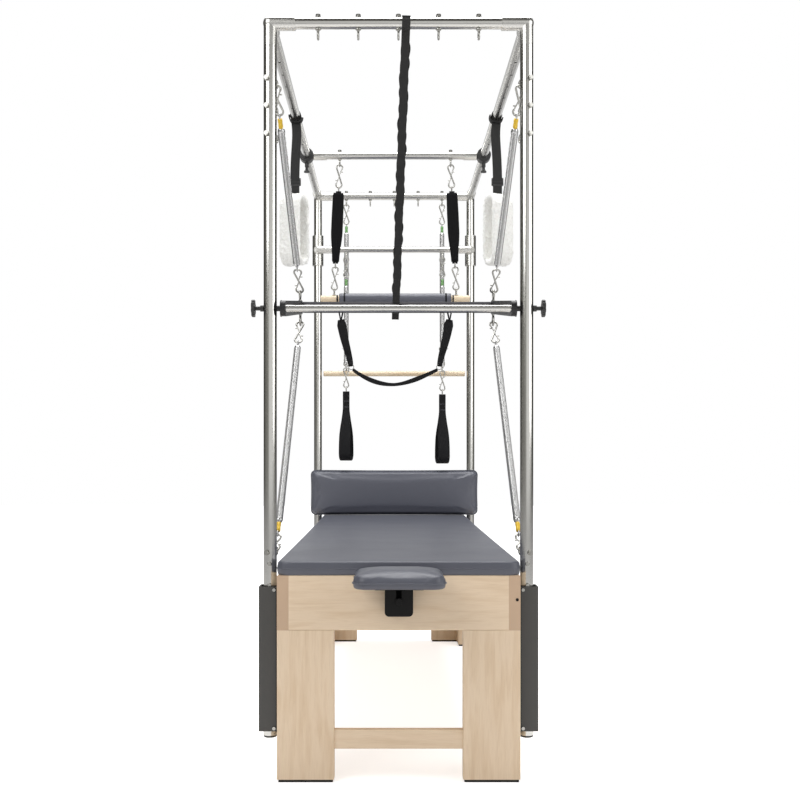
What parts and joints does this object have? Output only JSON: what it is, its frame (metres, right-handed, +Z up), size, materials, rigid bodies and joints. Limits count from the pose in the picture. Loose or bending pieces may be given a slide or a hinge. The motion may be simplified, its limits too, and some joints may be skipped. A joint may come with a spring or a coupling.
{
  "type": "pilates trapeze table",
  "caption": "Padded wooden exercise bed under a steel tube canopy with a hinged push bar, springs, a sliding trapeze, a sling and loops.",
  "frame": {"origin": "on the floor, under the middle of the whole object", "axes": "+X across the bed to the right, +Y along the bed from the push bar end to the far end, +Z up"},
  "size_m": [0.866, 2.473, 2.1885],
  "materials": {
    "birch_ply": "satin",
    "dark_rubber": "matte",
    "grey_vinyl": "satin",
    "stainless_tube": "gloss",
    "black_plastic": "satin",
    "grey_steel": "satin",
    "black_steel": "satin",
    "zinc_steel": "gloss",
    "spring_steel": "gloss",
    "black_foam": "matte",
    "black_webbing": "matte",
    "white_fleece": "matte",
    "oiled_beech": "satin"
  },
  "bodies": {
    "frame": {"side_rails": "birch_ply", "end_rails": "birch_ply", "bed_deck": "birch_ply", "legs": "birch_ply", "rubber_feet": "dark_rubber", "leg_stretchers": "birch_ply", "mattress": "grey_vinyl", "uprights": "stainless_tube", "upright_end_caps": "black_plastic", "upright_brackets": "grey_steel", "bracket_screws": "zinc_steel", "corner_fittings": "stainless_tube", "end_crossbars": "stainless_tube", "top_rails": "stainless_tube", "frame_eyebolts": "zinc_steel", "headrest_bracket": "black_steel"},
    "headrest": {"headrest_post": "black_steel", "headrest_pad": "grey_vinyl"},
    "headrest_release": {"headrest_button": "black_plastic"},
    "end_board": {"end_board": "grey_vinyl"},
    "push_bar": {"push_bar_arms": "black_steel", "push_bar_pivot_tube": "stainless_tube", "push_bar_core": "stainless_tube", "push_bar_grip": "black_foam", "push_bar_eyebolts": "zinc_steel", "safety_strap": "black_webbing"},
    "left_knob": {"left_pivot_knob": "black_plastic"},
    "right_knob": {"right_pivot_knob": "black_plastic"},
    "upper_spring_swing": {"upper_post_snaps": "zinc_steel", "upper_push_springs": "spring_steel"},
    "upper_spring_end": {"upper_bar_snaps": "zinc_steel"},
    "lower_spring_swing": {"lower_post_snaps": "zinc_steel", "lower_push_springs": "spring_steel"},
    "lower_spring_end": {"lower_bar_snaps": "zinc_steel"},
    "slider": {"slider_collars": "black_plastic", "slider_crossbar": "stainless_tube", "slider_eyebolts": "zinc_steel"},
    "left_pin": {"left_locking_pin": "black_plastic"},
    "right_pin": {"right_locking_pin": "black_plastic"},
    "trapeze": {"trapeze_fittings": "zinc_steel", "padded_loops": "black_webbing", "trapeze_bar": "oiled_beech", "trapeze_bar_pad": "grey_vinyl"},
    "sling": {"trapeze_sling": "black_webbing"},
    "left_fleece": {"left_fleece_loop": "white_fleece"},
    "right_fleece": {"right_fleece_loop": "white_fleece"},
    "rear_bar": {"rear_slide_bar": "stainless_tube", "rear_slide_sleeves": "stainless_tube"},
    "left_hand_swing": {"left_hand_top_snap": "zinc_steel", "left_hand_spring": "spring_steel"},
    "left_hand_end": {"left_hand_snap": "zinc_steel", "left_hand_loop": "black_webbing"},
    "right_hand_swing": {"right_hand_top_snap": "zinc_steel", "right_hand_spring": "spring_steel"},
    "right_hand_end": {"right_hand_snap": "zinc_steel", "right_hand_loop": "black_webbing"},
    "roll_down_swing": {"roll_down_top_snaps": "zinc_steel", "roll_down_springs": "spring_steel"},
    "roll_down_end": {"roll_down_fittings": "zinc_steel", "roll_down_bar": "oiled_beech"}
  },
  "joints": [
    {"name": "push_bar_hinge", "type": "hinge", "parent": "frame", "child": "push_bar", "pos_m": [0, -0.938, 1.34], "axis": [1, 0, 0], "range_deg": [-15, 15], "stiffness_Nm_per_rad": 300, "springref_deg": 5.16, "deforming": ["safety_strap"]},
    {"name": "left_knob_turn", "type": "hinge", "parent": "frame", "child": "left_knob", "pos_m": [0, -0.938, 1.34], "axis": [1, 0, 0], "range_deg": [-180, 180]},
    {"name": "right_knob_turn", "type": "hinge", "parent": "frame", "child": "right_knob", "pos_m": [0, -0.938, 1.34], "axis": [1, 0, 0], "range_deg": [-180, 180]},
    {"name": "upper_spring_tilt", "type": "hinge", "parent": "frame", "child": "upper_spring_swing", "pos_m": [0, -0.90109, 1.9949], "axis": [1, 0, 0], "range_deg": [-8, 8]},
    {"name": "upper_spring_stretch", "type": "slide", "parent": "upper_spring_swing", "child": "upper_spring_end", "axis": [0, 0.7128, -0.7013], "range_m": [-0.15, 0.15], "deforming": ["upper_push_springs"]},
    {"name": "lower_spring_tilt", "type": "hinge", "parent": "frame", "child": "lower_spring_swing", "pos_m": [0, -0.90143, 0.6424], "axis": [1, 0, 0], "range_deg": [-8, 8]},
    {"name": "lower_spring_stretch", "type": "slide", "parent": "lower_spring_swing", "child": "lower_spring_end", "axis": [0, 0.6005, 0.7996], "range_m": [-0.15, 0.15], "deforming": ["lower_push_springs"]},
    {"name": "slider_travel", "type": "slide", "parent": "frame", "child": "slider", "axis": [0, 1, 0], "range_m": [-0.224, 0.336]},
    {"name": "left_pin_pull", "type": "slide", "parent": "slider", "child": "left_pin", "axis": [0, 0, -1], "range_m": [0, 0.01], "stiffness_N_per_m": 1000, "springref_m": -0.005},
    {"name": "right_pin_pull", "type": "slide", "parent": "slider", "child": "right_pin", "axis": [0, 0, -1], "range_m": [0, 0.01], "stiffness_N_per_m": 1000, "springref_m": -0.005},
    {"name": "trapeze_swing", "type": "hinge", "parent": "slider", "child": "trapeze", "pos_m": [0, 0.447, 2.122], "axis": [1, 0, 0], "range_deg": [-15, 15]},
    {"name": "sling_swing", "type": "hinge", "parent": "trapeze", "child": "sling", "pos_m": [0, 0.447, 1.563], "axis": [1, 0, 0], "range_deg": [-15, 15]},
    {"name": "left_fleece_swing", "type": "hinge", "parent": "frame", "child": "left_fleece", "pos_m": [-0.3685, -0.078, 2.1595], "axis": [0, 1, 0], "range_deg": [-15, 15]},
    {"name": "right_fleece_swing", "type": "hinge", "parent": "frame", "child": "right_fleece", "pos_m": [0.3685, -0.078, 2.1595], "axis": [0, 1, 0], "range_deg": [-15, 15]},
    {"name": "rear_bar_height", "type": "slide", "parent": "frame", "child": "rear_bar", "axis": [0, 0, 1], "range_m": [-0.015, 0.1]},
    {"name": "left_hand_loop_swing", "type": "hinge", "parent": "rear_bar", "child": "left_hand_swing", "pos_m": [-0.231, 1.13, 1.8595], "axis": [-1, 0, 0], "range_deg": [0, 20]},
    {"name": "left_hand_loop_pull", "type": "slide", "parent": "left_hand_swing", "child": "left_hand_end", "axis": [0, 0, -1], "range_m": [0, 0.02], "stiffness_N_per_m": 400, "springref_m": -0.06, "deforming": ["left_hand_spring"]},
    {"name": "right_hand_loop_swing", "type": "hinge", "parent": "rear_bar", "child": "right_hand_swing", "pos_m": [0.231, 1.13, 1.8595], "axis": [-1, 0, 0], "range_deg": [0, 20]},
    {"name": "right_hand_loop_pull", "type": "slide", "parent": "right_hand_swing", "child": "right_hand_end", "axis": [0, 0, -1], "range_m": [0, 0.02], "stiffness_N_per_m": 400, "springref_m": -0.06, "deforming": ["right_hand_spring"]},
    {"name": "roll_down_swing", "type": "hinge", "parent": "frame", "child": "roll_down_swing", "pos_m": [0, 1.162, 2.1205], "axis": [1, 0, 0], "range_deg": [0, 20]},
    {"name": "roll_down_pull", "type": "slide", "parent": "roll_down_swing", "child": "roll_down_end", "axis": [0, 0, -1], "range_m": [0, 0.18], "stiffness_N_per_m": 400, "springref_m": -0.06, "deforming": ["roll_down_springs"]},
    {"name": "headrest_height", "type": "slide", "parent": "frame", "child": "headrest", "axis": [0, 0, 1], "range_m": [0, 0.05]},
    {"name": "headrest_button_press", "type": "slide", "parent": "frame", "child": "headrest_release", "axis": [0, 1, 0], "range_m": [0, 0.0025], "stiffness_N_per_m": 1500, "springref_m": -0.002},
    {"name": "end_board_lift", "type": "slide", "parent": "frame", "child": "end_board", "axis": [0, 0, 1], "range_m": [0, 0.025]}
  ],
  "couplings": [
    {"joint": "upper_spring_tilt", "follows": "push_bar_hinge", "ratio": 0.425},
    {"joint": "upper_spring_stretch", "follows": "push_bar_hinge", "m_per_rad": -0.495},
    {"joint": "lower_spring_tilt", "follows": "push_bar_hinge", "ratio": 0.41},
    {"joint": "lower_spring_stretch", "follows": "push_bar_hinge", "m_per_rad": 0.45}
  ]
}
